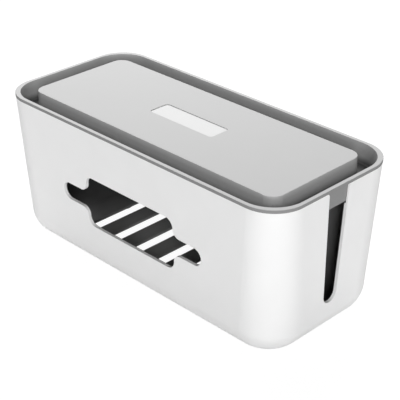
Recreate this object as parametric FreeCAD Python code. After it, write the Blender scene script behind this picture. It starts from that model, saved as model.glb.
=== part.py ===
import FreeCAD, Part
import math
import os

# A cable management box: a drafted tub with cable outlets, and a lid that lifts off.
# Millimetres. X runs along the box, Y across it with the front at -Y, and Z up.
# Heights in the code are above the tub's base, and the export lifts the whole box on to its feet.

# Tub, outside. Its walls lean in from the top edge down to the base.
tub_length = 319.8
tub_width = 141.8
tub_height = 135.1
tub_corner_radius = 28.9
base_corner_radius = 34.2
wall_lean = 4.6
base_round = 24.5
wall = 3.1

# Thin upper lip of the tub, which makes room for the lid's skirt
lip_wall = 1.7
lip_shelf_gap = 0.8

# Cut-out in the front wall: a body with a tab at each side
cutout_width = 104.8
cutout_height = 47.1
cutout_centre_share = 0.512
tab_span = 166.5
tab_height = 16.0
cutout_corner_share = 0.53
tab_fillet_share = 0.45

# Cable slots in both end walls, open at the top
slot_low = 32.8
slot_low_width = 15.4
slot_top_width = 23.4
slot_shoulder = 3.0

# The floor lies a little above the edge that it is recessed in
floor_recess = 2.7
floor_wall = 2.4
recess_land = 0.8

# Vents across the floor, between the feet
vent_count = 8
vent_width = 12.1
vent_end_land = 1.8
vent_foot_land = 4.7

# Rubber feet, stuck to the floor in its recess
foot_width = 13.0
foot_proud = 1.6
foot_margin = 5.5
foot_bevel = 0.5

# Lid: a rim on the tub's edge, a skirt inside it, a gutter all round, and a plateau just above the rim
rim_proud = 0.2
rim_thickness = 2.7
rim_bevel = 0.25
skirt_fit = 0.3
skirt_wall = 1.15
skirt_corner_ease = 3.2
skirt_bevel = 1.4
gutter_depth = 18.3
gutter_floor = 1.5
gutter_bevel = 1.5
plateau_rise = 0.25
plateau_inset = 19.5
plateau_corner_radius = 10.5
plateau_lean = 0.6
plateau_wall = 2.2
plateau_thickness = 2.4
plateau_bevel = 0.25

# Blank badge plate, let into the plateau
badge_length = 72.4
badge_width = 21.0
badge_corner = 3.0
badge_recess = 1.2
badge_thickness = 0.5
badge_fit = 0.15

# How far a cutting body runs past the face that it cuts
overrun = 5.0

# Two edges at one height differ by less than this
same_height = 0.01

# Places worked out from the sizes above
rim_top = tub_height + rim_thickness
plateau_top = rim_top + plateau_rise
skirt_inset = lip_wall + skirt_fit
gutter_inset = skirt_inset + skirt_wall
gutter_low = rim_top - gutter_depth
lid_low = gutter_low - gutter_floor
floor_top = floor_recess + floor_wall
base_flat_x = tub_length / 2 - wall_lean - base_round
base_flat_y = tub_width / 2 - wall_lean - base_round
foot_x = base_flat_x - foot_margin - foot_width / 2
foot_y = base_flat_y - foot_margin - foot_width / 2
last_vent_x = foot_x - foot_width / 2 - vent_foot_land - vent_width / 2
vent_pitch = 2 * last_vent_x / (vent_count - 1)
vent_length = 2 * (base_flat_y - vent_end_land)


def point(x, y, z):
    return FreeCAD.Vector(x, y, z)


def line(a, b):
    return Part.LineSegment(a, b).toShape()


def arc(a, middle, b):
    return Part.Arc(a, middle, b).toShape()


def flat_face(points):
    return Part.Face(Part.makePolygon(points + points[:1]))


def rounded_loop(half_x, half_y, radius, z):
    """A rounded rectangle: a straight edge and a quarter round, four times."""
    diagonal = radius * math.sqrt(0.5)
    x, y = half_x - radius, half_y - radius
    # For each corner: its centre, and the directions of its first and last point
    corners = [
        (x, y, (1, 0), (0, 1)),
        (-x, y, (0, 1), (-1, 0)),
        (-x, -y, (-1, 0), (0, -1)),
        (x, -y, (0, -1), (1, 0)),
    ]
    rounds = []
    for cx, cy, first, last in corners:
        start = point(cx + radius * first[0], cy + radius * first[1], z)
        bend = point(cx + diagonal * (first[0] + last[0]), cy + diagonal * (first[1] + last[1]), z)
        end = point(cx + radius * last[0], cy + radius * last[1], z)
        rounds.append((start, bend, end))
    edges = []
    for number, (start, bend, end) in enumerate(rounds):
        edges.append(line(rounds[number - 1][2], start))
        edges.append(arc(start, bend, end))
    return Part.Wire(edges)


def edges_at(shape, z, ends_only=False):
    """The edges at one height, either whole or with their ends alone."""
    found = []
    for edge in shape.Edges:
        places = [v.Point for v in edge.Vertexes]
        if not ends_only:
            places.append(edge.CenterOfMass)
        if all(abs(p.z - z) < same_height for p in places):
            found.append(edge)
    return found


def straight_block(half_x, half_y, radius, z_low, z_high):
    """A rounded plate with upright sides."""
    face = Part.Face(rounded_loop(half_x, half_y, radius, z_low))
    return face.extrude(point(0, 0, z_high - z_low))


def tub_outline(z, inset):
    """The tub's half sizes and corner radius at a height, drawn in by an inset."""
    share = z / tub_height
    half_x = tub_length / 2 - wall_lean * (1 - share) - inset
    half_y = tub_width / 2 - wall_lean * (1 - share) - inset
    radius = base_corner_radius + (tub_corner_radius - base_corner_radius) * share - inset
    return half_x, half_y, radius


def skirt_outline(z, inset):
    """The skirt's half sizes and corner radius: drawn in like the tub's, with rounder corners."""
    half_x, half_y, radius = tub_outline(z, inset)
    return half_x, half_y, radius + skirt_corner_ease


def plateau_outline(z, inset):
    """The plateau's half sizes and corner radius; its sides lean out towards the gutter's floor."""
    lean = plateau_lean * (rim_top - z) / gutter_depth
    half_x = tub_length / 2 + rim_proud - plateau_inset + lean - inset
    half_y = tub_width / 2 + rim_proud - plateau_inset + lean - inset
    return half_x, half_y, plateau_corner_radius + lean - inset


def corner_face(outline, inset, z_low, z_high):
    """The round at the +X +Y corner: a piece of a cone that touches both walls along a line."""
    low_x, low_y, low_radius = outline(z_low, inset)
    high_x, high_y, high_radius = outline(z_high, inset)
    lean = (high_x - low_x) / (z_high - z_low)
    touch_low = point(low_x, low_y - low_radius, z_low)
    touch_high = point(high_x, high_y - high_radius, z_high)

    # The cone's axis goes through the points where the walls' normals meet
    centre_low = point(low_x - low_radius, low_y - low_radius, z_low + lean * low_radius)
    centre_high = point(high_x - high_radius, high_y - high_radius, z_high + lean * high_radius)
    axis = (centre_high - centre_low).normalize()
    first = touch_low - centre_low
    last = point(first.y, first.x, first.z)
    turn = (first - axis * axis.dot(first)).getAngle(last - axis * axis.dot(last))
    return line(touch_low, touch_high).revolve(centre_low, axis, math.degrees(turn))


def leaning_block(outline, inset, z_low, z_high):
    """A solid with plane leaning walls and cone corners, whose outline changes evenly with height.

    It is sewn from its faces somewhat too tall, and then cut flat at both heights.
    """
    under, over = z_low - overrun, z_high + overrun
    corner = corner_face(outline, inset, under, over)
    origin = point(0, 0, 0)
    corner_left = corner.mirror(origin, point(1, 0, 0))
    corners = [corner, corner_left, corner_left.mirror(origin, point(0, 1, 0))]
    corners.append(corner.mirror(origin, point(0, 1, 0)))

    # Each end has a flat face with eight points, where walls and corners meet, and four bow-shaped ones
    faces = list(corners)
    rings = []
    for z in (under, over):
        x, y, radius = outline(z, inset)
        ring = [point(x, y - radius, z), point(x - radius, y, z)]
        ring += [point(-p.x, p.y, z) for p in reversed(ring)]
        ring += [point(-p.x, -p.y, z) for p in ring]
        rings.append(ring)
        faces.append(flat_face(ring))
        for face in corners:
            bow = edges_at(face, z, ends_only=True)[0]
            chord = line(bow.Vertexes[0].Point, bow.Vertexes[-1].Point)
            faces.append(Part.Face(Part.Wire(Part.sortEdges([bow, chord])[0])))

    # A wall runs from every second point to the one after it
    low_ring, high_ring = rings
    for here in range(1, len(low_ring), 2):
        after = (here + 1) % len(low_ring)
        faces.append(flat_face([low_ring[here], low_ring[after], high_ring[after], high_ring[here]]))

    shell = Part.makeShell(faces)
    shell.sewShape()
    solid = Part.Solid(shell)
    if solid.Volume < 0:
        solid.reverse()
    slab = Part.makeBox(
        tub_length + 2 * overrun,
        tub_width + 2 * overrun,
        z_high - z_low,
        point(-tub_length / 2 - overrun, -tub_width / 2 - overrun, z_low),
    )
    return solid.common(slab)


def front_cutout():
    """Cutting body for the front wall's opening, cut straight through along Y."""
    half_width = cutout_width / 2
    half_height = cutout_height / 2
    half_span = tab_span / 2
    half_tab = tab_height / 2
    step = half_height - half_tab
    corner = cutout_corner_share * step
    fillet = tab_fillet_share * step
    diagonal = math.sqrt(0.5)
    centre_z = cutout_centre_share * tub_height
    y = -(tub_width / 2 + overrun)

    # One quarter, from the tab's tip round to the middle of the top edge
    def quarter(side, up):
        def at(x, z):
            return point(side * x, y, centre_z + up * z)

        tip_x = half_span - half_tab
        return [
            arc(at(half_span, 0), at(tip_x + half_tab * diagonal, half_tab * diagonal), at(tip_x, half_tab)),
            line(at(tip_x, half_tab), at(half_width + fillet, half_tab)),
            arc(
                at(half_width + fillet, half_tab),
                at(half_width + fillet * (1 - diagonal), half_tab + fillet * (1 - diagonal)),
                at(half_width, half_tab + fillet),
            ),
            line(at(half_width, half_tab + fillet), at(half_width, half_height - corner)),
            arc(
                at(half_width, half_height - corner),
                at(half_width - corner * (1 - diagonal), half_height - corner * (1 - diagonal)),
                at(half_width - corner, half_height),
            ),
            line(at(half_width - corner, half_height), at(0, half_height)),
        ]

    edges = quarter(1, 1) + quarter(-1, 1) + quarter(-1, -1) + quarter(1, -1)
    loop = Part.Wire(Part.sortEdges(edges)[0])
    return Part.Face(loop).extrude(point(0, tub_width / 2, 0))


def end_slot(side):
    """Cutting body for the cable slot in one end wall, widening upwards to rounded shoulders."""
    radius = slot_low_width / 2
    half_top = slot_top_width / 2
    centre_z = slot_low + radius

    # The side is the tangent from the slot's top corner to its round bottom
    reach = math.hypot(half_top, tub_height - centre_z)
    lean = math.acos(radius / reach) - math.atan2(tub_height - centre_z, half_top)
    shoulder_y = half_top + slot_shoulder * (1 / math.cos(lean) - math.tan(lean))
    shoulder_z = tub_height - slot_shoulder
    bend = math.pi * 3 / 4 - lean / 2
    x = side * (tub_length / 2 + overrun)

    def at(y, z):
        return point(x, y, z)

    def flank(hand):
        top = at(hand * shoulder_y, tub_height)
        over = at(hand * shoulder_y, tub_height + overrun)
        middle = at(
            hand * (shoulder_y + slot_shoulder * math.cos(bend)),
            shoulder_z + slot_shoulder * math.sin(bend),
        )
        under = at(
            hand * (shoulder_y - slot_shoulder * math.cos(lean)),
            shoulder_z + slot_shoulder * math.sin(lean),
        )
        low = at(hand * radius * math.cos(lean), centre_z - radius * math.sin(lean))
        return over, low, [line(over, top), arc(top, middle, under), line(under, low)]

    over_right, low_right, right = flank(1)
    over_left, low_left, left = flank(-1)
    edges = right + left
    edges.append(arc(low_right, at(0, slot_low), low_left))
    edges.append(line(over_left, over_right))
    loop = Part.Wire(Part.sortEdges(edges)[0])
    return Part.Face(loop).extrude(point(-side * tub_length / 4, 0, 0))


def vents():
    """Cutting bodies for the row of vents in the floor."""
    bodies = []
    for number in range(vent_count):
        x = (number - (vent_count - 1) / 2) * vent_pitch
        corner = point(x - vent_width / 2, -vent_length / 2, -overrun)
        bodies.append(Part.makeBox(vent_width, vent_length, floor_top + 2 * overrun, corner))
    return bodies


def floor_space():
    """Cutting body for the recess below the floor, as round at its corners as the flat of the base."""
    half_x = base_flat_x - recess_land
    half_y = base_flat_y - recess_land
    radius = base_corner_radius - base_round - recess_land
    return straight_block(half_x, half_y, radius, -overrun, floor_recess)


def foot_places():
    """Name, x and y of each foot."""
    return [
        ("foot_front_left", -foot_x, -foot_y),
        ("foot_front_right", foot_x, -foot_y),
        ("foot_back_left", -foot_x, foot_y),
        ("foot_back_right", foot_x, foot_y),
    ]


def make_tub():
    """The tub: a drafted shell with round lower edges and a thin upper lip."""
    outside = leaning_block(tub_outline, 0, 0, tub_height)
    outside = outside.makeFillet(base_round, edges_at(outside, 0))

    over = tub_height + overrun
    inside = leaning_block(tub_outline, wall, floor_top, over)
    inside = inside.makeFillet(base_round - floor_top, edges_at(inside, floor_top))
    lip = leaning_block(tub_outline, lip_wall, lid_low - lip_shelf_gap, over)

    tub = outside.cut(inside.fuse(lip))
    return tub.cut([front_cutout(), end_slot(1), end_slot(-1), floor_space()] + vents())


def make_foot(x, y):
    """One rubber foot: a disc with its lower edge bevelled."""
    foot = Part.makeCylinder(foot_width / 2, foot_proud + floor_recess, point(x, y, -foot_proud))
    return foot.makeChamfer(foot_bevel, edges_at(foot, -foot_proud))


def make_lid():
    """The lid: rim, skirt and gutter, and a plateau that is hollow underneath."""
    rim_x = tub_length / 2 + rim_proud
    rim_y = tub_width / 2 + rim_proud
    rim = straight_block(rim_x, rim_y, tub_corner_radius + rim_proud, tub_height, rim_top)
    rim = rim.makeChamfer(rim_bevel, edges_at(rim, rim_top))
    body = leaning_block(skirt_outline, skirt_inset, lid_low, tub_height)
    body = body.makeChamfer(skirt_bevel, edges_at(body, lid_low))

    # The plateau starts out somewhat too long and wide, and the gutter cuts it to its outline
    rough_x = rim_x - plateau_inset / 2
    rough_y = rim_y - plateau_inset / 2
    rough = straight_block(rough_x, rough_y, tub_corner_radius, tub_height, plateau_top)
    lid = rim.fuse([body, rough])

    gutter = leaning_block(skirt_outline, gutter_inset, gutter_low, plateau_top + overrun)
    core = leaning_block(plateau_outline, 0, gutter_low - overrun, plateau_top + 2 * overrun)
    gutter = gutter.cut(core)
    gutter = gutter.makeChamfer(gutter_bevel, edges_at(gutter, gutter_low))
    lid = lid.cut(gutter)

    hollow = leaning_block(plateau_outline, plateau_wall, lid_low - overrun, plateau_top - plateau_thickness)
    lid = lid.cut(hollow)
    lid = lid.makeChamfer(plateau_bevel, edges_at(lid, plateau_top))

    seat_low = plateau_top - badge_recess
    seat = straight_block(badge_length / 2, badge_width / 2, badge_corner, seat_low, plateau_top + overrun)
    return lid.cut(seat)


def make_badge():
    """The blank plate on the floor of the plateau's recess."""
    floor = plateau_top - badge_recess
    return straight_block(
        badge_length / 2 - badge_fit,
        badge_width / 2 - badge_fit,
        badge_corner - badge_fit,
        floor,
        floor + badge_thickness,
    )


def export(shape, name):
    """Writes one sub-part, lifted on to the feet, and prints what it is."""
    solid = shape.Solids[0]
    solid.translate(point(0, 0, foot_proud))
    box = solid.optimalBoundingBox()
    print(f"{name}: {len(shape.Solids)} solid, valid {solid.isValid()}, volume {solid.Volume / 1000:.1f} cm3,"
          f" box {box.XLength:.2f} x {box.YLength:.2f} x {box.ZLength:.2f}, z {box.ZMin:.2f} to {box.ZMax:.2f}")
    solid.exportStep(f"parts/{name}.step")


os.makedirs("parts", exist_ok=True)
export(make_tub(), "tub")
export(make_lid(), "lid")
export(make_badge(), "badge_plate")
for foot_name, place_x, place_y in foot_places():
    export(make_foot(place_x, place_y), foot_name)
print(f"vent pitch {vent_pitch:.2f}, feet at {foot_x:.1f}, {foot_y:.1f}, lid underside at {lid_low + foot_proud:.1f}")
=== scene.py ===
# %% [markdown]
# # A cable management box
#
# The box is a white plastic tub with a grey lid. A power strip lies in the tub, its cables leave
# through an opening in front and a slot at each end, and phones stand in the gutter round the lid.
# The solids come finished from CAD. This script gives them their plastics and rubber, lights them
# as for a catalogue, and sets the camera. Lengths are in metres, and Z is up.

# %% Load the solids
import math

import bpy
from mathutils import Matrix, Vector


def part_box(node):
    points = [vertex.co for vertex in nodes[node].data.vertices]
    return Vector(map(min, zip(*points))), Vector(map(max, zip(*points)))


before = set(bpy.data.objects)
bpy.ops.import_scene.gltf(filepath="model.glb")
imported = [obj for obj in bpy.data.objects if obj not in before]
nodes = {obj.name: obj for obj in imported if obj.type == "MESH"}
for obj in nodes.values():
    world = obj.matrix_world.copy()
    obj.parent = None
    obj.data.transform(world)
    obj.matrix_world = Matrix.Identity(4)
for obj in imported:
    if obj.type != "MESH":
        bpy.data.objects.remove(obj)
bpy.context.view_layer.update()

MM = 0.001
for name, solid in sorted(nodes.items()):
    low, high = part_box(name)
    size = [round(length / MM, 1) for length in high - low]
    print(f"{name}: {len(solid.data.polygons)} faces, {size} mm")

# %% [markdown]
# ## Smooth corners
#
# The solids arrive as triangles. Plain smooth shading would tint the large flat walls, because
# each corner's bend would spread over the long triangles beside it. Splitting every face would
# show the corners' facets. A mark on each sharp edge and a Weighted Normal modifier give both:
# flat walls stay flat, round corners look round, and no point of the solid moves.

# %% Smooth the round faces and keep the sharp edges
sharp_from = math.radians(32)
large_face_weight = 100


def smooth(solid):
    mesh = solid.data
    mesh.shade_smooth()
    mesh.set_sharp_from_angle(angle=sharp_from)
    weighted = solid.modifiers.new("flat walls", "WEIGHTED_NORMAL")
    weighted.keep_sharp = True
    weighted.weight = large_face_weight
    return sum(edge.use_edge_sharp for edge in mesh.edges)


for name, solid in sorted(nodes.items()):
    print(f"{name}: {smooth(solid)} sharp edges")

# %% [markdown]
# ## Sums on sockets
#
# A finish is a small sum: this colour here, that one there, a little noise on both. Written as
# nodes, such a sum is hard to read. So a Wire stands for one socket, and adding, multiplying or
# comparing wires adds the Math nodes. Everything else comes from one method of the tree, `add`.


# %% A wire
class Wire:
    """One number on its way between two nodes."""

    def __init__(self, tree, socket):
        self.tree = tree
        self.socket = socket

    def __add__(self, other):
        return self.tree.math("ADD", self, other)

    def __sub__(self, other):
        return self.tree.math("SUBTRACT", self, other)

    def __rsub__(self, other):
        return self.tree.math("SUBTRACT", other, self)

    def __mul__(self, other):
        return self.tree.math("MULTIPLY", self, other)

    def __truediv__(self, other):
        return self.tree.math("DIVIDE", self, other)

    def __pow__(self, power):
        return self.tree.math("POWER", self, power)

    def __abs__(self):
        return self.tree.math("ABSOLUTE", self)

    def __lt__(self, other):
        return self.tree.math("LESS_THAN", self, other)

    def __gt__(self, other):
        return self.tree.math("GREATER_THAN", self, other)

    __radd__ = __add__
    __rmul__ = __mul__


# %% The tree that a wire belongs to
class Tree:
    """The node tree of a material or of the world."""

    def __init__(self, owner):
        owner.use_nodes = True
        self.nodes = owner.node_tree.nodes
        self.links = owner.node_tree.links
        self.nodes.clear()

    def add(self, kind, settings=None, inputs=None, output=0):
        """Adds a node: its settings first, then the values or wires of its sockets."""
        node = self.nodes.new(kind)
        for key, value in (settings or {}).items():
            setattr(node, key, value)
        for key, value in (inputs or {}).items():
            if isinstance(value, Wire):
                self.links.new(value.socket, node.inputs[key])
            else:
                node.inputs[key].default_value = value
        return Wire(self, node.outputs[output]) if node.outputs else node

    def math(self, operation, *values):
        settings = {"operation": operation}
        return self.add("ShaderNodeMath", settings, dict(enumerate(values)))

    def most(self, first, second):
        return self.math("MAXIMUM", first, second)

    def least(self, first, second):
        return self.math("MINIMUM", first, second)

    def share(self, value, start, end):
        """How far a value has come from start to end, from 0 to 1."""
        inputs = {"Value": value, "From Min": start, "From Max": end}
        return self.add("ShaderNodeMapRange", inputs=inputs)


# %% [markdown]
# ## Places, noise and colours
#
# A texture needs to know where on the object it is. UVs could say so, but CAD solids have none.
# The object's own coordinates do as well, and they ride along when the lid is lifted. Noise on
# them gives a plastic's grain. Colours are mixed by Mix nodes, because a Math node would turn
# them grey.

# %% Where a point is, noise on it, and blended colours
WHITE = (1.0, 1.0, 1.0, 1.0)
wave_tint = 0.02


def grey(value):
    return (value, value, value, 1.0)


def place_on(tree):
    """Where a point lies on the object, in metres, whatever the object's pose."""
    return tree.add("ShaderNodeTexCoord", output="Object")


def axes(tree):
    """The object's X, Y and Z at a point, as three wires."""
    parts = tree.add("ShaderNodeSeparateXYZ", inputs={0: place_on(tree)}).socket.node
    return [Wire(tree, parts.outputs[axis]) for axis in "XYZ"]


def noise(tree, grain, detail=2.0):
    """A noise around zero whose blotches are about as large as the grain."""
    inputs = {"Vector": place_on(tree), "Scale": 1 / grain, "Detail": detail}
    return tree.add("ShaderNodeTexNoise", inputs=inputs) - 0.5


def blend(tree, factor, first, second):
    """Mixes two colours by a wire."""
    settings = {"data_type": "RGBA"}
    inputs = {"Factor": factor, 6: first, 7: second}
    return tree.add("ShaderNodeMix", settings, inputs, output=2)


def wavy(tree, colour, waves):
    """A colour that the waves lighten and darken by a little."""
    lighter = tuple(min(1.0, part * (1 + wave_tint)) for part in colour[:3]) + (1.0,)
    darker = tuple(part * (1 - wave_tint) for part in colour[:3]) + (1.0,)
    return blend(tree, waves + 0.5, darker, lighter)


# %% [markdown]
# ## Moulded plastic
#
# Both mouldings and the plate are injection moulded, and differ in colour and in how finely the
# mould was textured. The texture is two noises: grains of a fraction of a millimetre, which a
# spark leaves in the steel, and slow waves where the plastic cooled unevenly. Both go through
# one Bump node. The waves also shift roughness and colour a little, as they do on a real part.
# A Bevel node softens the sharp edges, which no mould leaves quite sharp.

# %% Grain, waves and soft edges
wave_size = 25 * MM
wave_height = 0.5
waves_in_roughness = 0.06
grain_in_roughness = 0.04
edge_samples = 6


def finish_of(node_name, material):
    solid = nodes[node_name]
    solid.data.materials.clear()
    solid.data.materials.append(material)
    print(f"{node_name}: {material.name}")


class Moulding:
    """A moulded plastic: its tree, its texture and its bent surface, ready for a colour."""

    def __init__(self, name, grain, depth, edge):
        self.material = bpy.data.materials.new(name)
        self.tree = Tree(self.material)
        self.fine = noise(self.tree, grain)
        self.waves = noise(self.tree, wave_size, detail=1.0)
        soft_edge = self.tree.add(
            "ShaderNodeBevel", {"samples": edge_samples}, {"Radius": edge}
        )
        self.bump = self.tree.add(
            "ShaderNodeBump",
            inputs={
                "Height": self.fine + self.waves * wave_height,
                "Distance": depth,
                "Strength": 1.0,
                "Normal": soft_edge,
            },
        )

    def plastic(self, colour, roughness, specular=0.5):
        """The plastic itself. A plain colour gets the waves, and a wire goes in as it is."""
        if not isinstance(colour, Wire):
            colour = wavy(self.tree, colour, self.waves)
        uneven = self.waves * waves_in_roughness
        grainy = self.fine * grain_in_roughness
        return self.tree.add(
            "ShaderNodeBsdfPrincipled",
            inputs={
                "Base Color": colour,
                "Roughness": roughness + uneven + grainy,
                "Specular IOR Level": specular,
                "Normal": self.bump,
            },
        )

    def finish(self, surface, *node_names):
        """Sends the surface to the output, and puts the material on the solids."""
        self.tree.add("ShaderNodeOutputMaterial", inputs={"Surface": surface})
        for node_name in node_names:
            finish_of(node_name, self.material)


# %% [markdown]
# ## The tub's inner skin
#
# The tub is one white moulding, and its cut edges are as white as its walls. The photograph shows
# its inside nearly black, far darker than a white space with these openings would be. So the
# inner skin gets painted shade: greys far darker than the white plastic, which stand in for the
# little light inside. The line between the two runs round every opening. The faces could be picked
# by hand, but their numbers change each time the solids are packed. The material works out instead
# how far a point lies outside the space within: a block with leaning walls, round corners in plan,
# and a larger round where walls and floor meet. Both rounds are one sum, the distance past two
# walls, bent round their corner.

# %% How far a point lies outside the tub's inner skin
tub_low, tub_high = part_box("tub")
tub_height = tub_high.z - tub_low.z
tub_wall = 3.1 * MM
wall_lean = 4.6 * MM
floor_under = tub_low.z + 2.9 * MM
plan_radius_high = 25.8 * MM
plan_radius_low = 31.1 * MM
floor_radius = 19.4 * MM
print(f"tub: walls {tub_wall / MM} mm thick, and {wall_lean / MM} mm further in at the base")


def past_corner(tree, past_one, past_other, radius):
    """The distance past two walls that meet in a round corner, and negative inside them."""
    one = past_one + radius
    other = past_other + radius
    squares = tree.most(one, 0.0) ** 2.0 + tree.most(other, 0.0) ** 2.0
    return tree.math("SQRT", squares) + tree.least(tree.most(one, other), 0.0) - radius


def past_inner_skin(tree):
    x, y, z = axes(tree)
    depth = (tub_high.z - z) / tub_height
    drawn_in = depth * wall_lean + tub_wall
    past_end = abs(x) - (tub_high.x - drawn_in)
    past_side = abs(y) - (tub_high.y - drawn_in)
    plan_radius = depth * (plan_radius_low - plan_radius_high) + plan_radius_high
    past_wall = past_corner(tree, past_end, past_side, plan_radius)
    return past_corner(tree, past_wall, floor_under - z, floor_radius)


# %% [markdown]
# ## The tub's finish
#
# The inner shade is painted shade, and follows the light that gets in. The floor is painted mid
# grey in the middle, behind the front opening, and nearly black at the ends. The long walls, which
# the end slots show, are in between, and the painted shade turns pale again under the lip, where
# the lid lifts off. The inside is also duller: with the outside's sheen, the far wall would mirror
# the white page through the end slots. A Mix Shader puts the two plastics together.

# %% White tub, painted shade inside
skin_depth = 0.4 * MM
light_middle = 20 * MM
dark_ends = 145 * MM
side_from = 48 * MM
side_at = 62 * MM
pale_from = tub_high.z - 45 * MM
lip_at = tub_high.z - 17 * MM

outer_white = grey(0.86)
# Painted shade: these inside greys stand for the little light that reaches each part of the
# inside, not for a dark plastic.
painted_middle_shade = grey(0.36)
painted_end_shade = grey(0.06)
painted_side_shade = grey(0.24)
painted_lip_shade = grey(0.55)


# Painted shade: darker towards the ends and on the long walls, paler towards the lip.
def painted_inner_shade(tree):
    x, y, z = axes(tree)
    towards_end = tree.share(abs(x), light_middle, dark_ends)
    on_side = tree.share(abs(y), side_from, side_at)
    near_lip = tree.share(z, pale_from, lip_at)
    floor_shade = blend(tree, towards_end, painted_middle_shade, painted_end_shade)
    low_shade = blend(tree, on_side, floor_shade, painted_side_shade)
    return blend(tree, near_lip, low_shade, painted_lip_shade)


tub = Moulding("white plastic", grain=0.5 * MM, depth=0.01 * MM, edge=0.35 * MM)
outside = tub.plastic(outer_white, roughness=0.42)
# The inside plastic carries the painted shade.
inside = tub.plastic(painted_inner_shade(tub.tree), roughness=0.8, specular=0.1)
is_inside = past_inner_skin(tub.tree) < skin_depth
both_skins = tub.tree.add(
    "ShaderNodeMixShader", inputs={0: is_inside, 1: outside, 2: inside}
)
tub.finish(both_skins, "tub")

# %% [markdown]
# ## The lid
#
# The lid is one mid-grey moulding. Its mould was sparked more coarsely than the tub's, which
# hides scratches from phones and keeps the top from mirroring a lamp. The photograph shows the
# grey in four shades: light on the plateau and the rim, a little darker on the gutter's walls,
# darkest where the gutter is deepest, and dark round the outside of rim and skirt. One plain grey
# under these lamps gives that order but half the contrast, so the rest is painted: painted light
# on the plateau, the rim and the top of the gutter's walls, and painted shade deep in the gutter
# and round the outside of rim and skirt. The material takes these greys from height, and from
# whether a point lies outside the middle of the skirt's thin wall.

# %% Grey lid with painted light and shade
lid_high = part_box("lid")[1]
skirt_middle = 2.8 * MM
skirt_radius = 29.5 * MM
top_from = lid_high.z - 0.4 * MM
pale_wall_from = lid_high.z - 5 * MM
fade_from = lid_high.z - 11.5 * MM
gutter_low = lid_high.z - 18.5 * MM

# Painted light and shade: the top and pale wall greys are painted light, the deep and outer greys
# painted shade; the wall grey is the lid's own.
painted_top_light = grey(0.405)
painted_pale_wall = grey(0.395)
wall_grey = grey(0.35)
painted_deep_shade = grey(0.04)
painted_outer_shade = grey(0.255)


# Painted light on the top, painted shade with depth in the gutter and outside the skirt.
def lid_painted_greys(tree, waves):
    x, y, z = axes(tree)
    drawn_in = (tub_high.z - z) * (wall_lean / tub_height) + skirt_middle
    past_end = abs(x) - (lid_high.x - drawn_in)
    past_side = abs(y) - (lid_high.y - drawn_in)
    past_skirt = past_corner(tree, past_end, past_side, skirt_radius)
    near_top = tree.share(z, pale_wall_from, top_from)
    deep = tree.share(z, fade_from, gutter_low)
    high_wall = blend(tree, near_top, wall_grey, painted_pale_wall)
    wall = blend(tree, deep, high_wall, painted_deep_shade)
    side = blend(tree, past_skirt > 0.0, wall, painted_outer_shade)
    return blend(tree, z < top_from, wavy(tree, painted_top_light, waves), side)


lid = Moulding("grey plastic", grain=0.4 * MM, depth=0.015 * MM, edge=0.3 * MM)
lid.finish(lid.plastic(lid_painted_greys(lid.tree, lid.waves), roughness=0.75, specular=0.3), "lid")

# %% [markdown]
# ## The plate
#
# The plate is a smooth inlay, paler than the lid, and left blank. It could be polished, but the
# photograph's plate shows no reflection, so it is only finer in grain than the lid.

# %% Badge plate
plate_grey = grey(0.49)
plate = Moulding("pale plate", grain=0.3 * MM, depth=0.003 * MM, edge=0.15 * MM)
plate.finish(plate.plastic(plate_grey, roughness=0.5, specular=0.35), "badge_plate")

# %% [markdown]
# ## The feet
#
# The feet are rubber, and keep the box from sliding when a cable is pulled. Rubber could have a
# shader of its own, but it is moulded too, so the same class makes it: coarse, dark and dull.

# %% Rubber feet
rubber_grey = grey(0.03)
feet = sorted(name for name in nodes if name.startswith("foot"))
rubber = Moulding("foot rubber", grain=0.8 * MM, depth=0.03 * MM, edge=0.2 * MM)
rubber.finish(rubber.plastic(rubber_grey, roughness=0.75, specular=0.3), *feet)

# %% [markdown]
# ## World
#
# A catalogue's white page isn't bright light: it is what the camera sees behind the object. So
# the world and the floor are white to rays from the camera and to reflections, and dim or plain
# pale to the light that falls on the object. Light Path tells the two kinds of ray apart.

# %% White world
room_strength = 0.03
page_strength = 1.0


def page_rays(tree):
    """One for the camera's rays and for reflections, and zero for diffuse light."""
    ray = "ShaderNodeLightPath"
    camera_ray = tree.add(ray, output="Is Camera Ray")
    glossy_ray = tree.add(ray, output="Is Glossy Ray")
    through_ray = tree.add(ray, output="Is Transmission Ray")
    return tree.most(camera_ray, tree.most(glossy_ray, through_ray))


world = bpy.data.worlds.new("white studio")
bpy.context.scene.world = world
sky = Tree(world)
background = "ShaderNodeBackground"
room_light = sky.add(background, inputs={"Color": WHITE, "Strength": room_strength})
page_light = sky.add(background, inputs={"Color": WHITE, "Strength": page_strength})
sky_light = sky.add(
    "ShaderNodeMixShader", inputs={0: page_rays(sky), 1: room_light, 2: page_light}
)
sky.add("ShaderNodeOutputWorld", inputs={"Surface": sky_light})
print(f"{world.name}: {page_strength} to the camera, {room_strength} to the object")

# %% [markdown]
# ## Floor
#
# The floor carries the box and shows its shadow. Near the box its glow is a little under white,
# and the last part is real light, so the shadow stays faint. Further out it is all glow, which
# hides where the floor ends. To rays of diffuse light it is a plain pale board.

# %% Pale floor
floor_half = 3.0
floor_grey = grey(0.7)
near_glow = grey(0.96)
shadow_grey = grey(0.08)
glow_from = 0.6
glow_at = 1.6

floor_mesh = bpy.data.meshes.new("floor")
floor_corners = [
    (side * floor_half, end * floor_half, 0.0)
    for side, end in ((-1, -1), (1, -1), (1, 1), (-1, 1))
]
floor_mesh.from_pydata(floor_corners, [], [(0, 1, 2, 3)])
floor = bpy.data.objects.new("floor", floor_mesh)
bpy.context.scene.collection.objects.link(floor)

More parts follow.
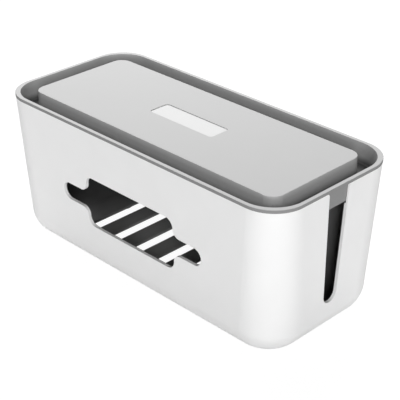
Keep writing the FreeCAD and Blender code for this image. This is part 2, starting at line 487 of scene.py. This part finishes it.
floor_look = bpy.data.materials.new("white page")
page = Tree(floor_look)
across, along = axes(page)[:2]
from_middle = page.math("SQRT", across * across + along * along)
far_off = page.share(from_middle, glow_from, glow_at)
glow_colour = blend(page, far_off, near_glow, WHITE)
glow = page.add("ShaderNodeEmission", inputs={"Color": glow_colour, "Strength": 1.0})
shadow_share = page.add("ShaderNodeBsdfDiffuse", inputs={"Color": shadow_grey})
seen = page.add("ShaderNodeAddShader", inputs={0: glow, 1: shadow_share})
board = page.add("ShaderNodeBsdfDiffuse", inputs={"Color": floor_grey})
floor_surface = page.add(
    "ShaderNodeMixShader", inputs={0: page_rays(page), 1: board, 2: seen}
)
page.add("ShaderNodeOutputMaterial", inputs={"Surface": floor_surface})
floor_mesh.materials.append(floor_look)
print(f"floor: {2 * floor_half} m wide, {floor_look.name}")

# %% [markdown]
# ## Lamps
#
# Both visible walls are nearly alike in brightness, and the corner between them is the brightest
# place. So the key panel stands beside the camera, a little to the right of the corner's own
# direction, far enough away to light a long wall evenly. A low panel under it reaches the round
# at the base. The top is lighter at its far left end, so the panel that lights it hangs close
# by, behind and to the left, and high, because from lower down it would burn out the back wall.
# To find the strengths, each panel was rendered alone, and the three were weighed against the
# photograph's grey levels by least squares. The last few watts were then trimmed.

# %% Soft panels
aim = Vector((0.0, 0.0, 0.07))


def panel(name, azimuth, elevation, distance, width, height, watts):
    """A soft lamp that looks at the box. Azimuth 0 stands in front of it, and 90 at its right."""
    turn = math.radians(azimuth)
    lift = math.radians(elevation)
    away = Vector(
        (math.sin(turn) * math.cos(lift), -math.cos(turn) * math.cos(lift), math.sin(lift))
    )
    lamp = bpy.data.lights.new(name, "AREA")
    lamp.shape = "RECTANGLE"
    lamp.size = width
    lamp.size_y = height
    lamp.energy = watts
    holder = bpy.data.objects.new(name, lamp)
    holder.location = aim + away * distance
    holder.rotation_mode = "QUATERNION"
    holder.rotation_quaternion = (-away).to_track_quat("-Z", "Y")
    bpy.context.scene.collection.objects.link(holder)
    print(f"{name}: {watts} W")


panel("back panel", azimuth=232, elevation=57, distance=1.45, width=1.0, height=1.0, watts=31.5)
panel("key panel", azimuth=49, elevation=25, distance=4.5, width=1.3, height=1.3, watts=108.0)
panel("low panel", azimuth=47, elevation=8, distance=4.5, width=1.3, height=0.7, watts=51.0)

# %% [markdown]
# ## Camera
#
# The place and lens come from the photograph's own lines: its long edges meet at two far points,
# and with the box's height those give where the camera stood.

# %% Camera at the photograph's angle
camera_at = Vector((0.613477, -0.595570, 0.536037))
camera_yaw = 0.78929
camera_pitch = -0.50403
camera_roll = -0.001735
sensor_width = 36.0
lens_length = 102.87

lens = bpy.data.cameras.new("camera")
lens.sensor_width = sensor_width
lens.lens = lens_length
camera = bpy.data.objects.new("camera", lens)
camera.matrix_world = (
    Matrix.Translation(camera_at)
    @ Matrix.Rotation(camera_yaw, 4, "Z")
    @ Matrix.Rotation(math.pi / 2 + camera_pitch, 4, "X")
    @ Matrix.Rotation(camera_roll, 4, "Z")
)
bpy.context.scene.collection.objects.link(camera)
bpy.context.scene.camera = camera
bpy.context.scene.view_settings.view_transform = "Standard"
print(f"camera: {lens_length} mm lens, {(camera_at - aim).length:.2f} m from the box")
